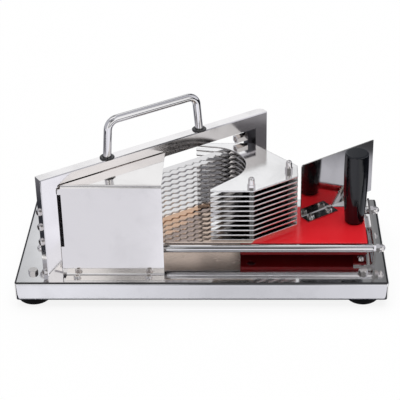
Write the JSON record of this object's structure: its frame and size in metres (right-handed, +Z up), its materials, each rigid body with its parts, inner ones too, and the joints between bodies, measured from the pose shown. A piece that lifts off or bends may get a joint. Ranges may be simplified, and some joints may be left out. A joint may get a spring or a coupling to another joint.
{
  "type": "tomato slicer",
  "caption": "Hand-pushed tomato slicer: a red carriage on rails drives a notched plate stack between scalloped blades in a slanted steel frame.",
  "frame": {"origin": "middle of the base's footprint, on the table under the feet", "axes": "+X to the right along the rails, towards the grip; +Y to the back, away from the user; +Z up"},
  "size_m": [0.43, 0.194, 0.2127],
  "materials": {
    "polished_sheet": "mirror-polished stainless sheet with fine hairlines",
    "frame_steel": "polished stainless bar",
    "bright_rod": "bright drawn stainless rod",
    "blade_steel": "bright ground blade steel",
    "pusher_steel": "polished stainless plate",
    "dark_holder": "dark steel bar",
    "fasteners": "bright stainless fasteners",
    "rubber": "matt black rubber",
    "red_plastic": "bright red moulded board",
    "black_plastic": "glossy black moulded grip"
  },
  "bodies": {
    "base": {"base_pan": "polished_sheet", "rubber_feet": "rubber", "foot_bolts": "fasteners", "foot_nuts": "fasteners", "blade_frame": "frame_steel", "frame_bolts": "fasteners", "left_blade_holder": "dark_holder", "right_blade_holder": "dark_holder", "left_blade_pin": "fasteners", "right_blade_pin": "fasteners", "tension_screws": "fasteners", "post_lock_screw": "fasteners", "holder_studs": "fasteners", "holder_nuts": "fasteners", "slicing_blade_1": "blade_steel", "slicing_blade_2": "blade_steel", "slicing_blade_3": "blade_steel", "slicing_blade_4": "blade_steel", "slicing_blade_5": "blade_steel", "slicing_blade_6": "blade_steel", "slicing_blade_7": "blade_steel", "slicing_blade_8": "blade_steel", "slicing_blade_9": "blade_steel", "slicing_blade_10": "blade_steel", "carry_handle": "bright_rod", "handle_collars": "bright_rod", "handle_screws": "fasteners", "entry_guard": "polished_sheet", "guard_screws": "fasteners", "front_rail": "bright_rod", "rear_rail": "bright_rod", "left_rail_bracket": "frame_steel", "right_rail_bracket": "frame_steel", "bracket_bolts": "fasteners", "rail_nuts": "fasteners"},
    "carriage": {"carriage": "red_plastic", "tomato_tray": "polished_sheet", "pusher_plate_1": "pusher_steel", "pusher_plate_2": "pusher_steel", "pusher_plate_3": "pusher_steel", "pusher_plate_4": "pusher_steel", "pusher_plate_5": "pusher_steel", "pusher_plate_6": "pusher_steel", "pusher_plate_7": "pusher_steel", "pusher_plate_8": "pusher_steel", "pusher_plate_9": "pusher_steel", "pusher_plate_10": "pusher_steel", "pusher_plate_11": "pusher_steel", "plate_spacers": "bright_rod", "pusher_bolts": "fasteners", "cap_nuts": "fasteners", "grip": "black_plastic", "grip_bolt": "fasteners", "hand_guard": "polished_sheet", "hand_guard_screws": "fasteners"}
  },
  "joints": [
    {"name": "carriage_slide", "type": "slide", "parent": "base", "child": "carriage", "axis": [-1, 0, 0], "range_m": [-0.004, 0.125]}
  ]
}
